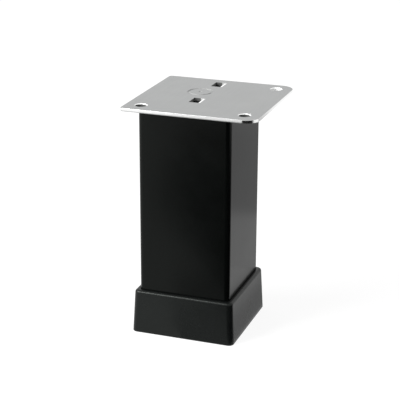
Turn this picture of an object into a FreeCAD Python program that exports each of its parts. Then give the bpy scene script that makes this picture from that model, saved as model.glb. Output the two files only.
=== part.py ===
"""Square steel table leg: a screw plate, a coated tube and a foot that screws out to level it."""

import FreeCAD, Part
import Sketcher
import os
import re

# Driving dimensions in millimetres: alias, value and meaning.
# The frame stands on the floor, with +Z up the tube's axis and -Y towards the front.
DIMENSIONS = (
    ("leg_height", "154", "floor to the top of the plate, foot screwed fully in"),
    ("tube_width", "60", "outside width of the square tube"),
    ("tube_wall", "1.5", "wall of the tube"),
    ("tube_corner", "3", "outside corner radius of the tube"),
    ("plate_thick", "2", "sheet thickness of the plate"),
    ("plate_lip", "2.5", "plate past the tube on the left and at the back"),
    ("plate_reach", "22.5", "plate past the tube on the right and at the front"),
    ("leg_corner", "2.5", "radius of the plate's two left corners"),
    ("free_corner", "8.5", "radius of the plate's two right corners"),
    ("plate_edge", "0.3", "rounding that shearing leaves on the plate's upper edge"),
    ("screw_hole", "7", "diameter of the screw holes"),
    ("screw_inset", "10", "screw holes in from the plate's edges"),
    ("screw_edge", "0.4", "chamfer of the screw holes' upper edges"),
    ("ring_width", "16", "outside diameter of the stamped ring"),
    ("ring_line", "1.2", "width of the stamped ring's groove"),
    ("ring_depth", "0.4", "depth of the stamped ring and its centre dot"),
    ("ring_dot", "2", "diameter of the centre dot"),
    ("tab_width", "10", "width of a clinch tab"),
    ("tab_kerf", "0.3", "gap cut round a clinch tab"),
    ("tab_fold", "9.5", "where the tabs fold down, right of the tube's axis"),
    ("tab_root", "0.3", "flat sheet between a slot's right end and the fold"),
    ("tab_roll", "3.4", "outside radius of the tabs' upper folds, where the sheet is stretched"),
    ("tab_bend", "0.5", "inside radius of the tabs' folds"),
    ("tab_tail", "1.9", "length of a tab clinched under the bridge"),
    ("tab_inset", "0.6", "tabs in from the bridge's folds"),
    ("clinch_gap", "0.1", "play between a tab and the bridge"),
    ("bridge_thick", "1.5", "sheet thickness of the bridge"),
    ("bridge_width", "34", "width of the bridge"),
    ("bridge_drop", "16", "height of the bridge's welded ends"),
    ("bridge_bend", "1", "inside radius of the bridge's folds"),
    ("plug_flange", "2", "flange of the plug under the tube's cut end"),
    ("plug_height", "22", "length of the plug inside the tube"),
    ("plug_wall", "2.4", "side walls of the plug"),
    ("plug_floor", "3.2", "floor of the plug, with its flange"),
    ("plug_rib", "2", "thickness of the plug's ribs"),
    ("plug_roof", "4", "plug above the nut, which carries the load"),
    ("plug_gap", "0.1", "gap between the plug and the tube"),
    ("boss_wall", "2.6", "wall of the plug's boss round the nut's corners"),
    ("nut_flats", "16", "nut across its flats"),
    ("nut_crown", "15.2", "diameter of the nut's flat ends, inside its chamfered corners"),
    ("nut_height", "8", "height of the nut"),
    ("nut_sink", "0.3", "nut in from the plug's lower face"),
    ("nut_gap", "0.1", "gap between the nut and its pocket"),
    ("spindle_width", "10", "outside diameter of the thread"),
    ("spindle_spare", "4", "thread left above the nut when the foot is right out"),
    ("spindle_chamfer", "1", "chamfer at the top of the thread"),
    ("thread_gap", "0.05", "running clearance in the nut, on the radius"),
    ("bore_gap", "0.4", "clearance in the plug above the nut, on the radius"),
    ("collar_width", "22", "diameter of the spindle's collar"),
    ("collar_thick", "3", "thickness of the collar"),
    ("collar_gap", "0.3", "collar to the plug with the foot right in"),
    ("collar_edge", "0.4", "chamfer of the collar and of the journal's end"),
    ("journal_width", "9", "diameter of the journal in the foot's floor"),
    ("journal_gap", "0.1", "running clearance of the journal, on the radius"),
    ("journal_tip", "0.4", "journal past the clip"),
    ("key_flats", "5", "key socket across its flats"),
    ("key_depth", "5", "depth of the key socket"),
    ("clip_width", "16", "diameter of the retaining clip"),
    ("clip_thick", "0.8", "thickness of the clip"),
    ("clip_play", "0.2", "play between the clip and the foot"),
    ("clip_slit", "1", "width of the slits between the clip's teeth"),
    ("clip_tooth", "1.6", "length of the clip's teeth"),
    ("clip_room", "1.2", "room round the clip, on the radius"),
    ("foot_height", "28.4", "height of the foot"),
    ("foot_travel", "15", "how far the foot screws out"),
    ("foot_gap", "0.3", "sliding clearance round the tube"),
    ("foot_wall", "2.6", "wall of the foot at its rim"),
    ("foot_flare", "1.3", "how far each side leans out from rim to floor"),
    ("foot_corner", "3.5", "radius of the foot's upright corners"),
    ("foot_brow", "1.8", "rounding of the foot's rim"),
    ("foot_hem", "0.3", "chamfer of the foot's lower edge"),
    ("foot_floor", "5", "floor of the foot, with its ribs"),
    ("foot_core", "2.4", "depth of the hollows under the foot"),
    ("foot_skirt", "3.4", "width of the edge that the foot stands on"),
    ("foot_rib", "1.8", "thickness of the ribs under the foot"),
    ("foot_boss", "2.4", "wall of the ring round the clip"),
)
CLIP_TEETH = 6

# Formulas of those sizes that more than one feature uses.
TUBE_HALF = "tube_width / 2"
BORE_HALF = "(tube_width / 2 - tube_wall)"
BORE_CORNER = "max(tube_corner - tube_wall; 0.1)"
PLATE_SHORT = "(tube_width / 2 + plate_lip)"
PLATE_LONG = "(tube_width / 2 + plate_reach)"
PLATE_UNDER = "leg_height - plate_thick"
TAB_OUTER = "(tube_width / 2 - tube_wall - bridge_thick - bridge_bend - tab_inset)"
TAB_INNER = "(tube_width / 2 - tube_wall - bridge_thick - bridge_bend - tab_inset - tab_width)"
TAB_INSIDE = "tab_fold - tab_root - tab_roll + plate_thick"
TAB_OUTSIDE = "tab_fold - tab_root - tab_roll"
TAB_TIP = "tab_fold - tab_root + tab_tail"
TAB_FOLDS = "pi * (tab_bend + plate_thick / 2)"
TAB_LENGTH = "(%s + bridge_thick + clinch_gap - 2 * tab_bend + tab_tail + tab_root)" % TAB_FOLDS
PLUG_BASE = "foot_floor + collar_thick + collar_gap"
SPIGOT_HALF = "(tube_width / 2 - tube_wall - plug_gap)"
HOLLOW_HALF = "(tube_width / 2 - tube_wall - plug_gap - plug_wall)"
BOSS_TOP = "nut_sink + nut_height + plug_roof"
JOURNAL_LENGTH = "(foot_floor - foot_core + clip_play + clip_thick + journal_tip)"
SPINDLE_TOP = "collar_thick + collar_gap + nut_sink + nut_height + foot_travel + spindle_spare"
SOCKET_HALF = "(tube_width / 2 + foot_gap)"
BASE_HALF = "(tube_width / 2 + foot_gap + foot_wall + foot_flare)"
CORE_HALF = "(tube_width / 2 + foot_gap + foot_wall + foot_flare - foot_skirt)"
CLIP_RECESS = "clip_width + 2 * clip_room"

# A sketch's own numbers for its axes, for its origin, and for the points of a line or circle.
ACROSS_AXIS, UP_AXIS = range(-1, -3, -1)
ORIGIN = ACROSS_AXIS
START, END, CENTRE = range(1, 4)

CLOSE = 0.001

doc = FreeCAD.newDocument("TableLeg")
sheet = doc.addObject("Spreadsheet::Sheet", "Sizes")
for row, (alias, value, meaning) in enumerate(DIMENSIONS, start=1):
    sheet.set("A%d" % row, meaning)
    sheet.set("B%d" % row, value)
    sheet.setAlias("B%d" % row, alias)
doc.recompute()


def bind(item, name, text):
    """Tie a property to a formula of the sheet's sizes."""
    item.setExpression(name, re.sub(r"[a-z]+_[a-z]+", r"Sizes.\g<0>", text))


def new_body(node, height="0"):
    """Start a sub-part whose own origin stands at a height on the tube's axis."""
    body = doc.addObject("PartDesign::Body", node)
    body.Label = node
    bind(body, "Placement.Base.z", height)
    return body


def origin_plane(body, role):
    """Find one of a body's own origin planes."""
    return next(item for item in body.Origin.OriginFeatures if item.Role == role)


def new_sketch(body, name, plane="XY_Plane", lift="0", turn=0):
    """Start a sketch on one of the body's planes, lifted along its normal and turned about it."""
    sketch = body.newObject("Sketcher::SketchObject", name)
    sketch.AttachmentSupport = [(origin_plane(body, plane), "")]
    sketch.MapMode = "FlatFace"
    spin = FreeCAD.Rotation(FreeCAD.Vector(0, 0, 1), turn)
    sketch.AttachmentOffset = FreeCAD.Placement(FreeCAD.Vector(), spin)
    bind(sketch, "AttachmentOffset.Base.z", lift)
    return sketch


def pin(sketch, geometry, point, across, along):
    """Hold a point of a sketch at two formulas, each positive or written as minus a positive one."""
    for kind, text, axis in (("DistanceX", across, UP_AXIS), ("DistanceY", along, ACROSS_AXIS)):
        if text == "0":
            sketch.addConstraint(Sketcher.Constraint("PointOnObject", geometry, point, axis))
            continue
        ends = (ORIGIN, START, geometry, point)
        if text.startswith("-"):
            ends = (geometry, point, ORIGIN, START)
        index = sketch.addConstraint(Sketcher.Constraint(kind, *ends, 1.0))
        bind(sketch, "Constraints[%d]" % index, text.lstrip("-"))


def outline(sketch, points):
    """Draw a closed outline of straight lines through points given as pairs of formulas."""
    first = sketch.GeometryCount
    count = len(points)
    for side in range(count):
        here = FreeCAD.Vector(side, side * side, 0)
        there = FreeCAD.Vector(side + 1, (side + 1) * (side + 1), 0)
        sketch.addGeometry(Part.LineSegment(here, there))
    for side in range(count):
        following = first + (side + 1) % count
        sketch.addConstraint(Sketcher.Constraint("Coincident", first + side, END, following, START))
    for side, (across, along) in enumerate(points):
        pin(sketch, first + side, START, across, along)


def rectangle(sketch, left, right, front, back):
    """Draw a rectangle between formulas for its four sides."""
    outline(sketch, ((left, front), (right, front), (right, back), (left, back)))


def square(sketch, half):
    """Draw a square about the sketch's origin from a formula for half its side."""
    rectangle(sketch, "-" + half, half, "-" + half, half)


def circle(sketch, diameter, across="0", along="0"):
    """Draw a circle about a point."""
    index = sketch.addGeometry(Part.Circle(FreeCAD.Vector(), FreeCAD.Vector(0, 0, 1), 1))
    pin(sketch, index, CENTRE, across, along)
    size = sketch.addConstraint(Sketcher.Constraint("Diameter", index, 2.0))
    bind(sketch, "Constraints[%d]" % size, diameter)


def hexagon(sketch, flats):
    """Draw a hexagon about the sketch's origin from a formula across its flats."""
    side = "(%s) / 2" % flats
    low = "(%s) / 2 * tan(30)" % flats
    tip = "(%s) / 2 / cos(30)" % flats
    right = ((side, "-" + low), (side, low))
    left = (("-" + side, low), ("-" + side, "-" + low))
    outline(sketch, (("0", "-" + tip), *right, ("0", tip), *left))


def pad(body, sketch, length, symmetric=False):
    """Raise a sketch into solid material, up from its plane or evenly about it."""
    feature = body.newObject("PartDesign::Pad", sketch.Name + "Pad")
    feature.Profile = sketch
    if symmetric:
        feature.SideType = "Symmetric"
    bind(feature, "Length", length)


def pocket(body, sketch, depth=None, upward=False):
    """Cut a sketch down into the body, or upward, to a depth or right through."""
    feature = body.newObject("PartDesign::Pocket", sketch.Name + "Pocket")
    feature.Profile = sketch
    feature.Reversed = upward
    if depth is None:
        feature.Type = "ThroughAll"
    else:
        bind(feature, "Length", depth)
    return feature


def turn_about_axis(body, sketch, kind):
    """Turn a sketch about the upright axis, as a Revolution or a Groove."""
    feature = body.newObject("PartDesign::" + kind, sketch.Name + kind)
    feature.Profile = sketch
    feature.ReferenceAxis = (sketch, ["V_Axis"])
    feature.Angle = 360


def dress_edges(body, kind, name, chosen):
    """Start a Fillet or a Chamfer on the edges, of the body as it is so far, that a test chooses."""
    doc.recompute()
    base = body.Tip
    edges = ["Edge%d" % (index + 1) for index, edge in enumerate(base.Shape.Edges) if chosen(edge)]
    feature = body.newObject("PartDesign::" + kind, name)
    feature.Base = (base, edges)
    return feature


def fillet(body, name, radius, chosen):
    """Round the edges that a test chooses."""
    bind(dress_edges(body, "Fillet", name, chosen), "Radius", radius)


def chamfer(body, name, size, chosen):
    """Chamfer the edges that a test chooses, by the same size on both faces."""
    bind(dress_edges(body, "Chamfer", name, chosen), "Size", size)


def runs_along(edge, direction):
    """Tell whether an edge is a straight line along a direction."""
    straight = isinstance(edge.Curve, Part.Line)
    return straight and abs(edge.tangentAt(edge.FirstParameter).dot(FreeCAD.Vector(direction))) > 0.9999


def is_upright(edge):
    """Tell whether an edge is a straight line along Z."""
    return runs_along(edge, (0, 0, 1))


def is_level_at(edge, height):
    """Tell whether an edge lies in one level plane."""
    return abs(edge.BoundBox.ZMin - height) < CLOSE and abs(edge.BoundBox.ZMax - height) < CLOSE


def make_mounting_plate():
    """Stamped steel plate: it is screwed under the table, and its two tabs are clinched to the bridge."""
    body = new_body("mounting_plate", PLATE_UNDER)
    blank = new_sketch(body, "PlateBlank")
    rectangle(blank, "-" + PLATE_SHORT, PLATE_LONG, "-" + PLATE_LONG, PLATE_SHORT)
    pad(body, blank, "plate_thick")
    fillet(body, "PlateLegCorners", "leg_corner", lambda edge: is_upright(edge) and edge.CenterOfMass.x < 0)
    fillet(body, "PlateFreeCorners", "free_corner", lambda edge: is_upright(edge) and edge.CenterOfMass.x > 0)
    top = sheet.plate_thick
    fillet(body, "PlateEdge", "plate_edge", lambda edge: is_level_at(edge, top))

    # There is no hole at the back left corner, because the tube is under it.
    holes = new_sketch(body, "ScrewHoles")
    left = "-(tube_width / 2 + plate_lip - screw_inset)"
    right = "(tube_width / 2 + plate_reach - screw_inset)"
    front = "-(tube_width / 2 + plate_reach - screw_inset)"
    back = "(tube_width / 2 + plate_lip - screw_inset)"
    for across, along in ((left, front), (right, front), (right, back)):
        circle(holes, "screw_hole", across, along)
    pocket(body, holes, upward=True)
    chamfer(body, "ScrewHoleEdges", "screw_edge", lambda edge: is_level_at(edge, top) and edge.isClosed())

    ring = new_sketch(body, "StampedRing", lift="plate_thick")
    circle(ring, "ring_width")
    circle(ring, "ring_width - 2 * ring_line")
    pocket(body, ring, "ring_depth")
    dot = new_sketch(body, "StampedDot", lift="plate_thick")
    circle(dot, "ring_dot")
    pocket(body, dot, "ring_depth")

    slots = new_sketch(body, "TabSlots")
    slot_end = "tab_fold - tab_kerf - " + TAB_LENGTH
    slot_inner = "(%s - tab_kerf)" % TAB_INNER
    slot_outer = "(%s + tab_kerf)" % TAB_OUTER
    rectangle(slots, slot_end, "tab_fold", slot_inner, slot_outer)
    rectangle(slots, slot_end, "tab_fold", "-" + slot_outer, "-" + slot_inner)
    pocket(body, slots, upward=True)

    # Each tab goes down through the bridge at the slot's right end and hooks under it to the right.
    hook_top = "-(bridge_thick + clinch_gap)"
    hook_under = "-(bridge_thick + clinch_gap + plate_thick)"
    for name, side in (("FrontTab", ""), ("BackTab", "-")):
        tab = new_sketch(body, name, "XZ_Plane", lift="%s(%s + %s) / 2" % (side, TAB_INNER, TAB_OUTER))
        upper = (("tab_fold", "0"), ("tab_fold", "plate_thick"), (TAB_OUTSIDE, "plate_thick"))
        hook = ((TAB_OUTSIDE, hook_under), (TAB_TIP, hook_under), (TAB_TIP, hook_top))
        inner = ((TAB_INSIDE, hook_top), (TAB_INSIDE, "0"))
        outline(tab, upper + hook + inner)
        pad(body, tab, "tab_width", symmetric=True)
    outside = sheet.tab_fold - sheet.tab_root - sheet.tab_roll
    fillet(body, "TabRolls", "tab_roll", lambda edge: is_tab_fold(edge, outside) and is_level_at(edge, top))
    fillet(body, "TabHeels", "plate_thick", lambda edge: is_tab_fold(edge, outside))
    fillet(body, "TabInnerFolds", "tab_bend", lambda edge: is_tab_fold(edge, outside + top))
    return body


def is_tab_fold(edge, across):
    """Tell whether an edge runs the width of a tab, at a place right of the tube's axis."""
    at_place = abs(edge.CenterOfMass.x - across) < CLOSE
    return at_place and runs_along(edge, (0, 1, 0)) and abs(edge.Length - sheet.tab_width) < CLOSE


def make_tube_bridge():
    """Folded strap across the tube's top, welded to two of its walls, that the tabs go through."""
    body = new_body("tube_bridge", PLATE_UNDER)
    strap = new_sketch(body, "BridgeStrap", "YZ_Plane")
    inside = "(tube_width / 2 - tube_wall - bridge_thick)"
    left = (("-" + BORE_HALF, "-bridge_drop"), ("-" + BORE_HALF, "0"))
    right = ((BORE_HALF, "0"), (BORE_HALF, "-bridge_drop"), (inside, "-bridge_drop"))
    under = ((inside, "-bridge_thick"), ("-" + inside, "-bridge_thick"), ("-" + inside, "-bridge_drop"))
    outline(strap, left + right + under)
    pad(body, strap, "bridge_width", symmetric=True)
    fillet(body, "BridgeOuterFolds", "bridge_bend + bridge_thick", lambda edge: is_bridge_fold(edge, 0))
    under_strap = -sheet.bridge_thick
    fillet(body, "BridgeInnerFolds", "bridge_bend", lambda edge: is_bridge_fold(edge, under_strap))

    slots = new_sketch(body, "BridgeSlots")
    slot_left = "(%s - clinch_gap)" % TAB_OUTSIDE
    slot_right = "(tab_fold + clinch_gap)"
    slot_inner = "(%s - clinch_gap)" % TAB_INNER
    slot_outer = "(%s + clinch_gap)" % TAB_OUTER
    rectangle(slots, slot_left, slot_right, slot_inner, slot_outer)
    rectangle(slots, slot_left, slot_right, "-" + slot_outer, "-" + slot_inner)
    pocket(body, slots, "bridge_thick")
    return body


def is_bridge_fold(edge, height):
    """Tell whether an edge runs along X at one of the bridge's folds."""
    return runs_along(edge, (1, 0, 0)) and is_level_at(edge, height)


def make_leg_tube():
    """Square steel tube, standing on the plug's flange and ending under the plate."""
    body = new_body("leg_tube", PLUG_BASE + " + plug_flange")
    section = new_sketch(body, "TubeSection")
    square(section, TUBE_HALF)
    square(section, BORE_HALF)
    pad(body, section, "%s - (%s + plug_flange)" % (PLATE_UNDER, PLUG_BASE))
    half = sheet.tube_width / 2
    fillet(body, "TubeCorners", "tube_corner", lambda edge: is_tube_corner(edge, half))
    fillet(body, "TubeBoreCorners", BORE_CORNER, lambda edge: is_tube_corner(edge, half - sheet.tube_wall))
    return body


def is_tube_corner(edge, half):
    """Tell whether an edge stands at a corner of a square about the axis."""
    centre = edge.CenterOfMass
    return is_upright(edge) and abs(abs(centre.x) - half) < CLOSE and abs(abs(centre.y) - half) < CLOSE


def make_tube_plug():
    """Ribbed nylon insert that closes the tube's lower end and holds the nut in a boss."""
    body = new_body("tube_plug", PLUG_BASE)
    flange = new_sketch(body, "PlugFlange")
    square(flange, TUBE_HALF)
    pad(body, flange, "plug_flange")
    fillet(body, "PlugFlangeCorners", "tube_corner", is_upright)
    spigot = new_sketch(body, "PlugSpigot", lift="plug_flange")
    square(spigot, SPIGOT_HALF)
    pad(body, spigot, "plug_height")
    half = sheet.tube_width / 2 - sheet.tube_wall - sheet.plug_gap
    fillet(body, "PlugSpigotCorners", BORE_CORNER, lambda edge: is_tube_corner(edge, half))

    hollow = new_sketch(body, "PlugHollow", lift="plug_flange + plug_height")
    square(hollow, HOLLOW_HALF)
    pocket(body, hollow, "plug_flange + plug_height - plug_floor")
    boss = new_sketch(body, "PlugBoss", lift="plug_floor")
    circle(boss, "nut_flats / cos(30) + 2 * (nut_gap + boss_wall)")
    pad(body, boss, BOSS_TOP + " - plug_floor")
    rib_end = "(%s + plug_wall / 2)" % HOLLOW_HALF
    for name, turn in (("PlugRibAcross", 0), ("PlugRibAlong", 90)):
        rib = new_sketch(body, name, lift="plug_floor", turn=turn)
        rectangle(rib, "-" + rib_end, rib_end, "-plug_rib / 2", "plug_rib / 2")
        pad(body, rib, BOSS_TOP + " - plug_floor - plug_rib")

    nut_pocket = new_sketch(body, "NutPocket")
    hexagon(nut_pocket, "nut_flats + 2 * nut_gap")
    pocket(body, nut_pocket, "nut_sink + nut_height", upward=True)
    bore = new_sketch(body, "PlugBore")
    circle(bore, "spindle_width + 2 * bore_gap")
    pocket(body, bore, upward=True)
    return body


def make_spindle_nut():
    """Hexagon nut: the plug's boss stops it turning and bears down on it."""
    body = new_body("spindle_nut", PLUG_BASE + " + nut_sink")
    blank = new_sketch(body, "NutBlank")
    hexagon(blank, "nut_flats")
    circle(blank, "spindle_width + 2 * thread_gap")
    pad(body, blank, "nut_height")

    # A shallow cone takes the corners off both ends.
    corners = new_sketch(body, "NutCorners", "XZ_Plane")
    start = "nut_crown / 2"
    beyond = "(nut_flats / 2 / cos(30) + nut_gap)"
    drop = "(%s - %s) * tan(30)" % (beyond, start)
    outline(corners, ((start, "0"), (beyond, "0"), (beyond, drop)))
    outline(corners, ((start, "nut_height"), (beyond, "nut_height"), (beyond, "nut_height - " + drop)))
    turn_about_axis(body, corners, "Groove")
    return body


def make_adjusting_spindle():
    """Turned spindle: a thread in the nut, a collar on the foot's floor and a journal through it."""
    body = new_body("adjusting_spindle", "foot_floor")
    profile = new_sketch(body, "SpindleProfile", "XZ_Plane")
    journal_end = "-" + JOURNAL_LENGTH
    journal_edge = "-(%s - collar_edge)" % JOURNAL_LENGTH
    end = (("0", journal_end), ("journal_width / 2 - collar_edge", journal_end))
    journal = (("journal_width / 2", journal_edge), ("journal_width / 2", "0"))
    collar_under = (("collar_width / 2 - collar_edge", "0"), ("collar_width / 2", "collar_edge"))
    collar_top = (
        ("collar_width / 2", "collar_thick - collar_edge"),
        ("collar_width / 2 - collar_edge", "collar_thick"),
    )
    thread = (
        ("spindle_width / 2", "collar_thick"),
        ("spindle_width / 2", SPINDLE_TOP + " - spindle_chamfer"),
        ("spindle_width / 2 - spindle_chamfer", SPINDLE_TOP),
        ("0", SPINDLE_TOP),
    )
    outline(profile, end + journal + collar_under + collar_top + thread)
    turn_about_axis(body, profile, "Revolution")
    key = new_sketch(body, "KeySocket", lift="-" + JOURNAL_LENGTH)
    hexagon(key, "key_flats")
    pocket(body, key, "key_depth", upward=True)
    return body


def make_spindle_clip():
    """Push-on steel washer whose teeth grip the journal under the foot's floor."""
    body = new_body("spindle_clip", "foot_core - clip_play - clip_thick")
    washer = new_sketch(body, "ClipWasher")
    circle(washer, "clip_width")
    circle(washer, "journal_width")
    pad(body, washer, "clip_thick")
    slit = new_sketch(body, "ClipSlit")
    rectangle(slit, "journal_width / 4", "journal_width / 2 + clip_tooth", "-clip_slit / 2", "clip_slit / 2")
    cut = pocket(body, slit, upward=True)
    doc.recompute()
    teeth = body.newObject("PartDesign::PolarPattern", "ClipTeeth")
    teeth.Originals = [cut]
    teeth.Axis = (slit, ["N_Axis"])
    teeth.Angle = 360
    teeth.Occurrences = CLIP_TEETH
    body.Tip = teeth
    return body


def make_foot_sleeve():
    """Moulded foot: a drafted square cup that slides on the tube, cored and ribbed underneath."""
    body = new_body("foot_sleeve")
    base = new_sketch(body, "FootBase")
    square(base, BASE_HALF)
    pad(body, base, "foot_height")
    doc.recompute()
    block = body.Tip
    sides = [index + 1 for index, face in enumerate(block.Shape.Faces) if face.normalAt(0, 0).z == 0]
    lean = body.newObject("PartDesign::Draft", "FootDraft")
    lean.Base = (block, ["Face%d" % number for number in sides])
    lean.NeutralPlane = (origin_plane(body, "XY_Plane"), [""])
    bind(lean, "Angle", "atan(foot_flare / foot_height)")
    top = sheet.foot_height
    fillet(body, "FootCorners", "foot_corner", lambda edge: edge.BoundBox.ZLength > top / 2)
    fillet(body, "FootBrow", "foot_brow", lambda edge: is_level_at(edge, top))
    chamfer(body, "FootHem", "foot_hem", lambda edge: is_level_at(edge, 0))

    socket = new_sketch(body, "FootSocket", lift="foot_height")
    square(socket, SOCKET_HALF)
    pocket(body, socket, "foot_height - foot_floor")
    half = sheet.tube_width / 2 + sheet.foot_gap
    fillet(body, "FootSocketCorners", "tube_corner + foot_gap", lambda edge: is_tube_corner(edge, half))

    core = new_sketch(body, "FootCore")
    square(core, CORE_HALF)
    pocket(body, core, "foot_core", upward=True)
    straight_rib = "(%s + foot_skirt / 2)" % CORE_HALF
    corner_rib = "(%s * sqrt(2))" % CORE_HALF
    for name, turn, end in (
        ("FootRibAcross", 0, straight_rib),
        ("FootRibAlong", 90, straight_rib),
        ("FootRibRising", 45, corner_rib),
        ("FootRibFalling", 135, corner_rib),
    ):
        rib = new_sketch(body, name, turn=turn)
        rectangle(rib, "-" + end, end, "-foot_rib / 2", "foot_rib / 2")
        pad(body, rib, "foot_core")
    boss = new_sketch(body, "FootBoss")
    circle(boss, CLIP_RECESS + " + 2 * foot_boss")
    pad(body, boss, "foot_core")

    recess = new_sketch(body, "ClipRecess")
    circle(recess, CLIP_RECESS)
    pocket(body, recess, "foot_core", upward=True)
    journal_hole = new_sketch(body, "JournalHole")
    circle(journal_hole, "journal_width + 2 * journal_gap")
    pocket(body, journal_hole, upward=True)
    return body


def check_features(body):
    """Stop if a feature of a body added or cut nothing."""
    volume = 0.0
    for feature in body.Group:
        if not feature.isDerivedFrom("PartDesign::Feature"):
            continue
        if abs(feature.Shape.Volume - volume) < CLOSE:
            raise RuntimeError("%s changed nothing" % feature.Name)
        volume = feature.Shape.Volume


pieces = [
    make_mounting_plate(),
    make_tube_bridge(),
    make_leg_tube(),
    make_tube_plug(),
    make_spindle_nut(),
    make_adjusting_spindle(),
    make_spindle_clip(),
    make_foot_sleeve(),
]
doc.recompute()

failed = [item.Name for item in doc.Objects if "Invalid" in item.State or "Error" in item.State]
if failed:
    raise RuntimeError("failed: %s" % ", ".join(failed))
for piece in pieces:
    if piece.Shape.isNull() or not piece.Shape.isValid() or len(piece.Shape.Solids) != 1:
        raise RuntimeError("%s is not one sound solid" % piece.Label)
    check_features(piece)

os.makedirs("parts", exist_ok=True)
for piece in pieces:
    piece.Shape.exportStep("parts/%s.step" % piece.Label)
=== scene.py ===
"""Dresses the square table leg: its coated tube, zinc screw plate, moulded foot and levelling screw."""

import bmesh
import bpy
import math
from mathutils import Euler, Matrix, Vector


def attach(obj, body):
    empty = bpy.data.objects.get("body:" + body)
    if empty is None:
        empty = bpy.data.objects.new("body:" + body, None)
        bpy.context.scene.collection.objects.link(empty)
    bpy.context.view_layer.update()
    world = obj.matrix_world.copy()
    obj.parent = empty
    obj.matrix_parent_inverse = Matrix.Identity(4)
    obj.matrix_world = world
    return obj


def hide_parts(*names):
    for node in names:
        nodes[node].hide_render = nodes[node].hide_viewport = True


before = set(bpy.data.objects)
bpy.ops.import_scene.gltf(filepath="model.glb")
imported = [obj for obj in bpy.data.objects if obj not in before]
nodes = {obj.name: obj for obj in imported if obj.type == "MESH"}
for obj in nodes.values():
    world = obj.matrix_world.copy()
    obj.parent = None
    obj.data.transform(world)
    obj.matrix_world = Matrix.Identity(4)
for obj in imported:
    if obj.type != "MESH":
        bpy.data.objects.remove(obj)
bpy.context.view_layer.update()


# The leg itself is square steel tube, rolled and seam welded, then saw cut to length.
# Black powder is baked on to it, which leaves a satin skin with a faint orange peel.
COAT_BLACK = (0.0010, 0.0013, 0.0012, 1)
COAT_GREY = (0.0018, 0.0022, 0.0021, 1)
COAT_PEEL_PER_METRE = 900
COAT_PEEL_HEIGHT = 0.00001
COAT_CLOUDS_PER_METRE = 45
TUBE_GLOSS = 0.13
TUBE_ROUGHNESS = (0.15, 0.27)
BLACK_SHEEN_TINT = (0.94, 1.0, 0.95, 1)


def add_node(tree, kind, inputs=(), **settings):
    """Add a shader node, give it its settings, and set or link its inputs."""
    node = tree.nodes.new("ShaderNode" + kind)
    for name, value in settings.items():
        setattr(node, name, value)
    for name, value in dict(inputs).items():
        if isinstance(value, bpy.types.NodeSocket):
            tree.links.new(value, node.inputs[name])
        else:
            node.inputs[name].default_value = value
    return node


def start_group(name, numbers, outputs):
    """Start a node group that takes numbers; give back its tree, its inputs and its output node."""
    tree = bpy.data.node_groups.new(name, "ShaderNodeTree")
    for label in numbers:
        tree.interface.new_socket(label, in_out="INPUT", socket_type="NodeSocketFloat")
    for label in outputs:
        tree.interface.new_socket(label, in_out="OUTPUT", socket_type="NodeSocketFloat")
    return tree, tree.nodes.new("NodeGroupInput").outputs, tree.nodes.new("NodeGroupOutput")


def place_group(tree, group, **numbers):
    """Place a node group in a material, with its own numbers; give back its outputs."""
    node = tree.nodes.new("ShaderNodeGroup")
    node.node_tree = group
    for label, value in numbers.items():
        node.inputs[label].default_value = value
    return node.outputs


def start_material(name):
    """Start a material with an empty tree; give back both."""
    material = bpy.data.materials.new(name)
    material.use_nodes = True
    material.node_tree.nodes.clear()
    return material, material.node_tree


def add_shader(tree, constants):
    """Add a material's one shader, with what is the same all over the surface."""
    shader = add_node(tree, "BsdfPrincipled", constants)
    add_node(tree, "OutputMaterial", {"Surface": shader.outputs["BSDF"]})
    return shader


def spread(tree, value, low, high):
    """Turn a number from 0 to 1 into one from low to high."""
    ends = {"Value": value, "To Min": low, "To Max": high}
    return add_node(tree, "MapRange", ends).outputs["Result"]


def blend_colours(tree, amount, first, second):
    """Mix two colours by a number from 0 to 1."""
    return add_node(tree, "Mix", {0: amount, 6: first, 7: second}, data_type="RGBA").outputs[2]


def raise_relief(tree, shader, pattern, height):
    """Raise a pattern as fine relief."""
    relief = {"Height": pattern, "Distance": height, "Strength": 1.0}
    tree.links.new(add_node(tree, "Bump", relief).outputs["Normal"], shader.inputs["Normal"])


def make_skin_group():
    """Grain and clouds of a coated, moulded or plated skin."""
    tree, given, out = start_group("skin", ("Grains", "Clouds"), ("Grain", "Cloud"))
    place = add_node(tree, "TexCoord").outputs["Object"]
    fine = {"Vector": place, "Scale": given["Grains"], "Detail": 2.5, "Roughness": 0.55}
    wide = {"Vector": place, "Scale": given["Clouds"], "Detail": 3.0, "Roughness": 0.6}
    tree.links.new(add_node(tree, "TexNoise", fine).outputs["Fac"], out.inputs["Grain"])
    tree.links.new(add_node(tree, "TexNoise", wide).outputs["Fac"], out.inputs["Cloud"])
    return tree


skin_group = make_skin_group()


def make_skin_material(name, constants, colours, roughness, grains, grain_height, clouds):
    """Make a finish that drifts in clouds between two colours, under a fine raised grain."""
    material, tree = start_material(name)
    shader = add_shader(tree, constants)
    skin = place_group(tree, skin_group, Grains=grains, Clouds=clouds)
    tree.links.new(blend_colours(tree, skin["Cloud"], *colours), shader.inputs["Base Color"])
    tree.links.new(spread(tree, skin["Cloud"], *roughness), shader.inputs["Roughness"])
    raise_relief(tree, shader, skin["Grain"], grain_height)
    return material


def make_coat_material(name, gloss, roughness):
    """Black powder coat."""
    return make_skin_material(
        name,
        {"Specular IOR Level": gloss, "Specular Tint": BLACK_SHEEN_TINT},
        (COAT_BLACK, COAT_GREY),
        roughness,
        COAT_PEEL_PER_METRE,
        COAT_PEEL_HEIGHT,
        COAT_CLOUDS_PER_METRE,
    )


def finish_node(node, material):
    """Give one of the frame's own nodes a finish."""
    nodes[node].data.materials.clear()
    nodes[node].data.materials.append(material)


finish_node("leg_tube", make_coat_material("powder_coat", TUBE_GLOSS, TUBE_ROUGHNESS))


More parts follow.
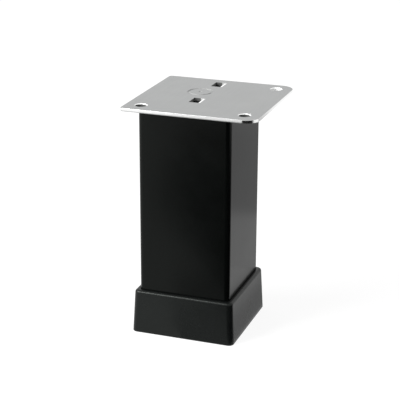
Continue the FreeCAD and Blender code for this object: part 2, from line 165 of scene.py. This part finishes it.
# The bridge is a strap of steel sheet, folded to a U and spot welded inside the tube's top.
# It is coated with the tube, but the powder reaches it thinly and stays dull.
BRIDGE_GLOSS = 0.03
BRIDGE_ROUGHNESS = (0.55, 0.75)

finish_node("tube_bridge", make_coat_material("thin_powder_coat", BRIDGE_GLOSS, BRIDGE_ROUGHNESS))


# The screw plate is stamped from cold rolled steel sheet and zinc plated after stamping.
# Its tabs are pushed down through the bridge and clinched. Folds, chamfers, sheared edges and the back
# hole's wall carry painted highlights, and the walls of the front holes and slots painted shade.
ZINC_GREY = (0.342, 0.348, 0.347, 1)
ZINC_PALE = (0.394, 0.401, 0.399, 1)
ZINC_ROUNDED = (0.40, 0.404, 0.40, 1)
# Painted highlight: the sheared outer edges are coloured far paler than the zinc, for the light they
# catch.
ZINC_EDGE_HIGHLIGHT = (0.77, 0.775, 0.77, 1)
# Painted highlight: the folds, the chamfers, the plate's right edge and the back hole's wall are coloured
# near white.
ZINC_STRONG_HIGHLIGHT = (0.90, 0.905, 0.90, 1)
# Painted shade: the walls of the front holes and slots are coloured dark.
ZINC_HOLE_SHADE = (0.14, 0.142, 0.14, 1)
# The lowest strip of those edges, under the painted highlight, keeps about the zinc's own tone.
ZINC_BELOW_EDGE_HIGHLIGHT = (0.42, 0.424, 0.42, 1)
# Weaker painted highlight: the walls in and round the ring, and those beside the tab folds.
ZINC_WEAK_HIGHLIGHT = (0.5, 0.505, 0.5, 1)
ZINC_CLOUDS_PER_METRE = 60
ZINC_LINES_ALONG = 30
ZINC_LINES_ACROSS = 2600
ZINC_LINE_HEIGHT = 0.000003
ZINC_ROUGHNESS = (0.26, 0.44)
ZINC_SHEARED_ROUGHNESS = 0.14
ZINC_FOLDED_ROUGHNESS = 0.75
PLATE_MIDDLE_ACROSS = 0.01
PLATE_MIDDLE_ALONG = -0.01
TAB_FOLD_MIDDLE = 0.008
TAB_FOLD_REACH = 0.0022

# Each of these pairs says where a mask has not begun and where it is complete.
LEANING = (0.9985, 0.985)
UPRIGHT = (0.6, 0.2)
FACING_RIGHT = (0.6, 0.9)
PAST_THE_RIM = (0.0395, 0.0405)
INSIDE_THE_RING = (0.013, 0.012)
IN_THE_BACK_HOLE = (0.024, 0.026)
# Below this height the sheared edges lose their painted highlight.
EDGE_HIGHLIGHT_ENDS = (0.1527, 0.1523)


def make_rolling_group():
    """Fine lines that the rolls leave along a sheet, here along Y."""
    tree, given, out = start_group("rolling_lines", ("Along", "Across"), ("Line",))
    place = add_node(tree, "TexCoord").outputs["Object"]
    scale = add_node(tree, "CombineXYZ", {"X": given["Across"], "Y": given["Along"], "Z": given["Along"]})
    inputs = {0: place, 1: scale.outputs["Vector"]}
    stretched = add_node(tree, "VectorMath", inputs, operation="MULTIPLY").outputs["Vector"]
    lines = {"Vector": stretched, "Scale": 1.0, "Detail": 3.0, "Roughness": 0.65}
    tree.links.new(add_node(tree, "TexNoise", lines).outputs["Fac"], out.inputs["Line"])
    return tree


def work_out(tree, operation, *numbers, **settings):
    """Do one sum on numbers."""
    return add_node(tree, "Math", enumerate(numbers), operation=operation, **settings).outputs["Value"]


def split(tree, vector):
    """Split a vector into X, Y and Z."""
    return add_node(tree, "SeparateXYZ", {"Vector": vector}).outputs


def ramp(tree, value, none_at, all_at):
    """Turn a number into a mask: 0 at one value, 1 at the other."""
    ends = {"Value": value, "From Min": none_at, "From Max": all_at}
    return add_node(tree, "MapRange", ends).outputs["Result"]


def mask_plate(tree):
    """Find where the plate leans, stands upright, ends, or was punched or stamped."""
    coordinates = add_node(tree, "TexCoord").outputs
    facing = split(tree, coordinates["Normal"])
    place = split(tree, coordinates["Object"])
    level = work_out(tree, "ABSOLUTE", facing["Z"])
    to_right = work_out(tree, "SUBTRACT", place["X"], PLATE_MIDDLE_ACROSS)
    to_back = work_out(tree, "SUBTRACT", place["Y"], PLATE_MIDDLE_ALONG)
    sideways = work_out(tree, "ABSOLUTE", to_right)
    endways = work_out(tree, "ABSOLUTE", to_back)
    flat = add_node(tree, "CombineXYZ", {"X": place["X"], "Y": place["Y"]}).outputs["Vector"]
    from_axis = add_node(tree, "VectorMath", {0: flat}, operation="LENGTH").outputs["Value"]
    return {
        "leaning": ramp(tree, level, *LEANING),
        "upright": ramp(tree, level, *UPRIGHT),
        "right": ramp(tree, facing["X"], *FACING_RIGHT),
        "rim": ramp(tree, work_out(tree, "MAXIMUM", sideways, endways), *PAST_THE_RIM),
        "ring": ramp(tree, from_axis, *INSIDE_THE_RING),
        "back_hole": ramp(tree, work_out(tree, "MINIMUM", to_right, to_back), *IN_THE_BACK_HOLE),
        "fold": work_out(tree, "COMPARE", place["X"], TAB_FOLD_MIDDLE, TAB_FOLD_REACH),
        "below_edge_highlight": ramp(tree, place["Z"], *EDGE_HIGHLIGHT_ENDS),
    }


def colour_zinc(tree, rolled, masks):
    """Colour the rolled faces; paint highlights on the folds, chamfers, edges and back hole's wall,
    weaker ones round the ring and beside the folds, and shade on the walls of the front holes and slots.
    """
    # Painted shade on the walls of the front holes and slots, and painted highlight on the back hole's
    # wall.
    punched = blend_colours(tree, masks["back_hole"], ZINC_HOLE_SHADE, ZINC_STRONG_HIGHLIGHT)
    # Weaker painted highlight beside the folds and round the ring.
    beside_folds = blend_colours(tree, masks["fold"], punched, ZINC_WEAK_HIGHLIGHT)
    inner_walls = blend_colours(tree, masks["ring"], beside_folds, ZINC_WEAK_HIGHLIGHT)
    # Painted highlight on the sheared edges, except their lowest strip.
    sheared = blend_colours(tree, masks["below_edge_highlight"], ZINC_EDGE_HIGHLIGHT, ZINC_BELOW_EDGE_HIGHLIGHT)
    # Painted highlight on the edge that faces right.
    outer_walls = blend_colours(tree, masks["right"], sheared, ZINC_STRONG_HIGHLIGHT)
    walls = blend_colours(tree, masks["rim"], inner_walls, outer_walls)
    # Painted highlight on the folds and chamfers inside the rim.
    turned_over = blend_colours(tree, masks["rim"], ZINC_STRONG_HIGHLIGHT, ZINC_ROUNDED)
    faces = blend_colours(tree, masks["leaning"], rolled, turned_over)
    return blend_colours(tree, masks["upright"], faces, walls)


def make_zinc_material():
    """Bright zinc on rolled sheet, rough on the stretched folds and smooth on the sheared rim,
    with painted highlights and painted shade.
    """
    material, tree = start_material("zinc_plating")
    shader = add_shader(tree, {"Metallic": 1.0})
    lines = place_group(tree, make_rolling_group(), Along=ZINC_LINES_ALONG, Across=ZINC_LINES_ACROSS)
    skin = place_group(tree, skin_group, Clouds=ZINC_CLOUDS_PER_METRE)
    rolled = blend_colours(tree, skin["Cloud"], ZINC_GREY, ZINC_PALE)
    masks = mask_plate(tree)
    tree.links.new(colour_zinc(tree, rolled, masks), shader.inputs["Base Color"])
    folded = work_out(tree, "SUBTRACT", masks["leaning"], masks["rim"], use_clamp=True)
    dull = {0: folded, 2: spread(tree, lines["Line"], *ZINC_ROUGHNESS), 3: ZINC_FOLDED_ROUGHNESS}
    sheared = work_out(tree, "MULTIPLY", masks["upright"], masks["rim"])
    smooth = {0: sheared, 2: add_node(tree, "Mix", dull).outputs[0], 3: ZINC_SHEARED_ROUGHNESS}
    tree.links.new(add_node(tree, "Mix", smooth).outputs[0], shader.inputs["Roughness"])
    raise_relief(tree, shader, lines["Line"], ZINC_LINE_HEIGHT)
    return material


finish_node("mounting_plate", make_zinc_material())


# The plug is an injection moulding of black nylon, ribbed for stiffness and pressed into the tube.
# It closes the cut end and grips the nut in its boss.
PLUG_COLOURS = ((0.014, 0.014, 0.0145, 1), (0.022, 0.022, 0.0225, 1))
PLUG_GLOSS = 0.3
PLUG_ROUGHNESS = (0.5, 0.62)
PLUG_GRAINS_PER_METRE = 2200
PLUG_GRAIN_HEIGHT = 0.00001
MOULDING_CLOUDS_PER_METRE = 70


def make_moulding_material(name, colours, gloss, roughness, grains, grain_height):
    """Black moulded plastic, with the fine grain of its spark eroded mould."""
    constants = {"Specular IOR Level": gloss, "Specular Tint": BLACK_SHEEN_TINT}
    clouds = MOULDING_CLOUDS_PER_METRE
    return make_skin_material(name, constants, colours, roughness, grains, grain_height, clouds)


plug_material = make_moulding_material(
    "plug_nylon", PLUG_COLOURS, PLUG_GLOSS, PLUG_ROUGHNESS, PLUG_GRAINS_PER_METRE, PLUG_GRAIN_HEIGHT
)
finish_node("tube_plug", plug_material)


# The nut is a stock hexagon nut of steel, cold formed, tapped and zinc plated.
# It is dropped into the plug's pocket, which keeps it from turning.
STEEL_COLOURS = ((0.54, 0.54, 0.535, 1), (0.64, 0.64, 0.63, 1))
STEEL_ROUGHNESS = (0.2, 0.36)
STEEL_GRAINS_PER_METRE = 3000
STEEL_GRAIN_HEIGHT = 0.000003
STEEL_CLOUDS_PER_METRE = 160

steel_material = make_skin_material(
    "bright_steel",
    {"Metallic": 1.0},
    STEEL_COLOURS,
    STEEL_ROUGHNESS,
    STEEL_GRAINS_PER_METRE,
    STEEL_GRAIN_HEIGHT,
    STEEL_CLOUDS_PER_METRE,
)
finish_node("spindle_nut", steel_material)


# The foot is an injection moulding of black plastic, drafted so that it leaves its mould.
# It slides on the tube's lower end and takes the floor on its ribs and edge.
FOOT_COLOURS = ((0.0034, 0.0040, 0.0039, 1), (0.0054, 0.0062, 0.0061, 1))
FOOT_GLOSS = 0.2
FOOT_ROUGHNESS = (0.22, 0.31)
FOOT_GRAINS_PER_METRE = 1500
FOOT_GRAIN_HEIGHT = 0.000006

foot_material = make_moulding_material(
    "foot_moulding", FOOT_COLOURS, FOOT_GLOSS, FOOT_ROUGHNESS, FOOT_GRAINS_PER_METRE, FOOT_GRAIN_HEIGHT
)
finish_node("foot_sleeve", foot_material)


# The adjusting screw is turned and thread rolled from steel bar and zinc plated. Its collar
# stands on the foot's floor, and a hexagon key turns it from below.
SCREW_COLUMNS = 48
SCREW_END = 0.001
SCREW_TOP = 0.0356
SCREW_CHAMFER = 0.001
SCREW_JOIN_WITHIN = 0.000002
SCREW_SHARP_ANGLE = math.radians(35)
THREAD_PITCH = 0.0015
THREAD_CREST = 0.005
THREAD_ROOT = 0.00408
COLLAR_RADIUS = 0.011
COLLAR_UNDER = 0.005
COLLAR_TOP = 0.008
TURNED_EDGE = 0.0004
JOURNAL_RADIUS = 0.0045
KEY_FLATS = 0.005
KEY_TOP = 0.006

# Each point of the thread's profile is a share of the pitch and a reach from the axis.
THREAD_PROFILE = ((0, THREAD_ROOT), (0.25, THREAD_ROOT), (0.5625, THREAD_CREST), (0.6875, THREAD_CREST))


def key_reach(angle):
    """Give the key socket's reach from the axis at an angle: flat sides face left and right."""
    sixth = math.pi / 3
    return KEY_FLATS / 2 / math.cos((angle + sixth / 2) % sixth - sixth / 2)


def add_ring(mesh, height, reach):
    """Add a ring of points at a height, at a reach that may change with the angle."""
    angles = [math.tau * column / SCREW_COLUMNS for column in range(SCREW_COLUMNS)]
    reaches = [reach(angle) if callable(reach) else reach for angle in angles]
    return [
        mesh.verts.new((out * math.cos(angle), out * math.sin(angle), height))
        for angle, out in zip(angles, reaches)
    ]


def add_turned_body(mesh):
    """Turn the socket, the journal and the collar, from the socket's floor round to the thread's root."""
    rings = [
        add_ring(mesh, KEY_TOP, key_reach),
        add_ring(mesh, SCREW_END, key_reach),
        add_ring(mesh, SCREW_END, JOURNAL_RADIUS - TURNED_EDGE),
        add_ring(mesh, SCREW_END + TURNED_EDGE, JOURNAL_RADIUS),
        add_ring(mesh, COLLAR_UNDER, JOURNAL_RADIUS),
        add_ring(mesh, COLLAR_UNDER, COLLAR_RADIUS - TURNED_EDGE),
        add_ring(mesh, COLLAR_UNDER + TURNED_EDGE, COLLAR_RADIUS),
        add_ring(mesh, COLLAR_TOP - TURNED_EDGE, COLLAR_RADIUS),
        add_ring(mesh, COLLAR_TOP, COLLAR_RADIUS - TURNED_EDGE),
        add_ring(mesh, COLLAR_TOP, THREAD_ROOT),
    ]
    mesh.faces.new(rings[0])
    for lower, upper in zip(rings, rings[1:]):
        for column in range(SCREW_COLUMNS):
            mesh.faces.new((lower[column - 1], lower[column], upper[column], upper[column - 1]))


def add_thread(mesh):
    """Wind the thread up from the collar to the chamfered top. Its turns run out at both ends."""
    turns = math.ceil((SCREW_TOP - COLLAR_TOP) / THREAD_PITCH) + 1
    columns = []
    for column in range(SCREW_COLUMNS):
        angle = math.tau * column / SCREW_COLUMNS
        points = []
        for turn in range(-1, turns + 1):
            for rise, reach in THREAD_PROFILE:
                height = COLLAR_TOP + (turn + rise + column / SCREW_COLUMNS) * THREAD_PITCH
                if height <= COLLAR_TOP:
                    reach = THREAD_ROOT
                height = min(max(height, COLLAR_TOP), SCREW_TOP)
                reach = min(reach, THREAD_CREST - SCREW_CHAMFER + SCREW_TOP - height)
                points.append(mesh.verts.new((reach * math.cos(angle), reach * math.sin(angle), height)))
        columns.append(points)
    for column in range(SCREW_COLUMNS):
        here = columns[column]
        after = columns[column + 1] if column + 1 < SCREW_COLUMNS else columns[0][len(THREAD_PROFILE):]
        for row in range(len(after) - 1):
            mesh.faces.new((here[row], after[row], after[row + 1], here[row + 1]))
    mesh.faces.new(add_ring(mesh, SCREW_TOP, THREAD_CREST - SCREW_CHAMFER))


def make_screw():
    """Make the screw in one piece, in place of its plain solid."""
    mesh = bmesh.new()
    add_turned_body(mesh)
    add_thread(mesh)
    bmesh.ops.remove_doubles(mesh, verts=mesh.verts, dist=SCREW_JOIN_WITHIN)
    bmesh.ops.recalc_face_normals(mesh, faces=mesh.faces)
    screw_mesh = bpy.data.meshes.new("levelling_screw")
    mesh.to_mesh(screw_mesh)
    mesh.free()
    screw_mesh.shade_smooth()
    screw_mesh.set_sharp_from_angle(angle=SCREW_SHARP_ANGLE)
    screw_mesh.materials.append(steel_material)
    screw = bpy.data.objects.new("levelling_screw", screw_mesh)
    bpy.context.scene.collection.objects.link(screw)
    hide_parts("adjusting_spindle")
    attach(screw, "spindle")


make_screw()


# The clip is a push-on washer, stamped from spring steel and zinc plated.
# It sits on the screw's journal under the foot's floor, and keeps the screw in the foot.
finish_node("spindle_clip", steel_material)


# The studio has a plain white floor that runs out of sight, under a white sky.
# Rays that show the background see it as plain white, and the floor keeps a soft shadow.
# It stays under the foot as that is screwed out, and is clear when looked at from below.
FLOOR_REACH = 6.0
FLOOR_LEVEL = -0.0001
FLOOR_GLOW = 0.9
FLOOR_WHITE = (0.82, 0.82, 0.82, 1)
FLOOR_SHADOWED = (0.2, 0.2, 0.2, 1)
SKY_WHITE = (1, 1, 1, 1)
SKY_LIGHT = 0.36
SKY_SHOWN = 1.0


def add_seen(tree):
    """Find whether a ray shows the background: straight, mirrored or through glass."""
    path = add_node(tree, "LightPath").outputs
    either = work_out(tree, "MAXIMUM", path["Is Camera Ray"], path["Is Glossy Ray"])
    return work_out(tree, "MAXIMUM", either, path["Is Transmission Ray"])


def make_floor_material():
    """White floor that glows where it is seen, and darkens a little in the leg's shadow."""
    material, tree = start_material("studio_floor")
    glow = add_node(tree, "Emission", {"Strength": FLOOR_GLOW}).outputs["Emission"]
    shade = add_node(tree, "BsdfDiffuse", {"Color": FLOOR_SHADOWED}).outputs["BSDF"]
    shown = add_node(tree, "AddShader", {0: glow, 1: shade}).outputs["Shader"]
    plain = add_node(tree, "BsdfDiffuse", {"Color": FLOOR_WHITE}).outputs["BSDF"]
    above = add_node(tree, "MixShader", {"Fac": add_seen(tree), 1: plain, 2: shown}).outputs["Shader"]
    below = add_node(tree, "NewGeometry").outputs["Backfacing"]
    clear = add_node(tree, "BsdfTransparent").outputs["BSDF"]
    sided = add_node(tree, "MixShader", {"Fac": below, 1: above, 2: clear}).outputs["Shader"]
    add_node(tree, "OutputMaterial", {"Surface": sided})
    return material


def make_floor():
    """Lay the floor."""
    floor_mesh = bpy.data.meshes.new("studio_floor")
    corners = ((-1, -1), (1, -1), (1, 1), (-1, 1))
    points = [(across * FLOOR_REACH, along * FLOOR_REACH, FLOOR_LEVEL) for across, along in corners]
    floor_mesh.from_pydata(points, (), (range(len(points)),))
    floor_mesh.materials.append(make_floor_material())
    floor = bpy.data.objects.new("studio_floor", floor_mesh)
    bpy.context.scene.collection.objects.link(floor)
    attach(floor, "foot")


def make_sky():
    """Light the studio all round."""
    world = bpy.data.worlds.new("studio_sky")
    bpy.context.scene.world = world
    world.use_nodes = True
    tree = world.node_tree
    tree.nodes.clear()
    strength = spread(tree, add_seen(tree), SKY_LIGHT, SKY_SHOWN)
    sky = add_node(tree, "Background", {"Color": SKY_WHITE, "Strength": strength})
    add_node(tree, "OutputWorld", {"Surface": sky.outputs["Background"]})


make_floor()
make_sky()


# Five cards lie on the floor in front of the leg and to its right, glowing at levels from black to
# off-white.
# They are no lamps, and only mirrored rays see them: they are painted reflections, which give the corners
# their dark strips, and the faces their slow change from dark to light.
CARD_HEIGHT = 0.0003
BLACK_LEVEL = 0.01
BLACK_OUTLINE = (
    (0.0355, -0.0355), (0.024, -0.058), (0.020, -0.085), (-0.013, -0.13), (-0.11, -0.27),
    (-0.15, -0.405), (-0.18, -0.50), (-0.10, -0.53), (-0.075, -0.60), (0.0, -1.3),
    (1.3, -1.3), (1.3, -0.5), (0.50, -0.18), (0.40, 0.27),
)
DIM_LEVEL = 0.6
DIM_OUTLINE = (
    (0.0355, -0.0355), (0.024, -0.058), (0.020, -0.085), (-0.013, -0.13),
    (-0.045, -0.13), (-0.024, -0.085), (-0.014, -0.058), (0.0, -0.0355),
)
GREY_LEVEL = 0.54
GREY_OUTLINE = ((0.19, 0.105), (0.5, 0.36), (0.5, 0.46), (0, 0.52), (0, 0.22), (0.165, 0.185))
WHITE_LEVEL = 0.82
WHITE_OUTLINE = ((0.072, 0.03), (0.19, 0.105), (0.165, 0.185), (0, 0.22), (0, 0.105), (0.068, 0.09))
NEAR_LEVEL = 0.55
NEAR_OUTLINE = ((0.0355, -0.034), (0.053, -0.0195), (0.053, 0.1), (0.0355, 0.1))


def lay_card(name, level, outline):
    """Lay a card on the floor that glows at its level and shows only in reflections, as a painted
    reflection.
    """
    card_mesh = bpy.data.meshes.new(name)
    points = [(across, along, CARD_HEIGHT) for across, along in outline]
    card_mesh.from_pydata(points, (), (range(len(points)),))
    material, tree = start_material(name)
    # The card's glow is a painted reflection; it lights nothing.
    card_glow = add_node(tree, "Emission", {"Strength": level}).outputs["Emission"]
    add_node(tree, "OutputMaterial", {"Surface": card_glow})
    card_mesh.materials.append(material)
    card = bpy.data.objects.new(name, card_mesh)
    bpy.context.scene.collection.objects.link(card)
    card.visible_camera = False
    card.visible_diffuse = False
    card.visible_shadow = False
    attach(card, "foot")


lay_card("black_card", BLACK_LEVEL, BLACK_OUTLINE)
lay_card("dim_card", DIM_LEVEL, DIM_OUTLINE)
lay_card("grey_card", GREY_LEVEL, GREY_OUTLINE)
lay_card("white_card", WHITE_LEVEL, WHITE_OUTLINE)
lay_card("near_card", NEAR_LEVEL, NEAR_OUTLINE)


# Two lamps hang at the front left: a square softbox, and nearer the leg a long narrow strip.
# The camera doesn't see them, only what they light and their reflections.
STRIP_PLACE = (-0.80, -0.52, 0.80)
STRIP_TARGET = (-0.50, 0, 0.05)
STRIP_SIZE = (0.9, 0.09)
STRIP_POWER = 16
SOFTBOX_PLACE = (-0.9, -1.2, 0.8)
SOFTBOX_TARGET = (0, 0, 0.08)
SOFTBOX_SIZE = (0.8, 0.8)
SOFTBOX_POWER = 14


def hang_lamp(name, place, target, size, power):
    """Hang a lamp that faces a point."""
    light = bpy.data.lights.new(name, "AREA")
    light.shape = "RECTANGLE"
    light.size, light.size_y = size
    light.energy = power
    lamp = bpy.data.objects.new(name, light)
    bpy.context.scene.collection.objects.link(lamp)
    lamp.location = place
    lamp.rotation_euler = (Vector(target) - Vector(place)).to_track_quat("-Z", "Y").to_euler()
    lamp.visible_camera = False


hang_lamp("upper_strip", STRIP_PLACE, STRIP_TARGET, STRIP_SIZE, STRIP_POWER)
hang_lamp("front_softbox", SOFTBOX_PLACE, SOFTBOX_TARGET, SOFTBOX_SIZE, SOFTBOX_POWER)
bpy.context.scene.view_settings.view_transform = "Standard"


# The camera stands to the right of the leg's front, above the plate, and looks down on the leg.
# Its place and turn come from the leg's straight edges, and it is level to a quarter of a degree.
CAMERA_PLACE = (0.26422, -0.74274, 0.35956)
CAMERA_TURN = math.radians(19.574)
CAMERA_DROP = math.radians(19.362)
CAMERA_ROLL = math.radians(0.229)
CAMERA_LENS = 117.5
CAMERA_SENSOR = 36

camera = bpy.data.objects.new("camera", bpy.data.cameras.new("camera"))
bpy.context.scene.collection.objects.link(camera)
camera.data.lens = CAMERA_LENS
camera.data.sensor_width = CAMERA_SENSOR
looking = Euler((math.pi / 2 - CAMERA_DROP, 0, CAMERA_TURN)).to_matrix()
aim = looking @ Matrix.Rotation(CAMERA_ROLL, 3, "Z")
camera.matrix_world = Matrix.Translation(CAMERA_PLACE) @ aim.to_4x4()
bpy.context.scene.camera = camera
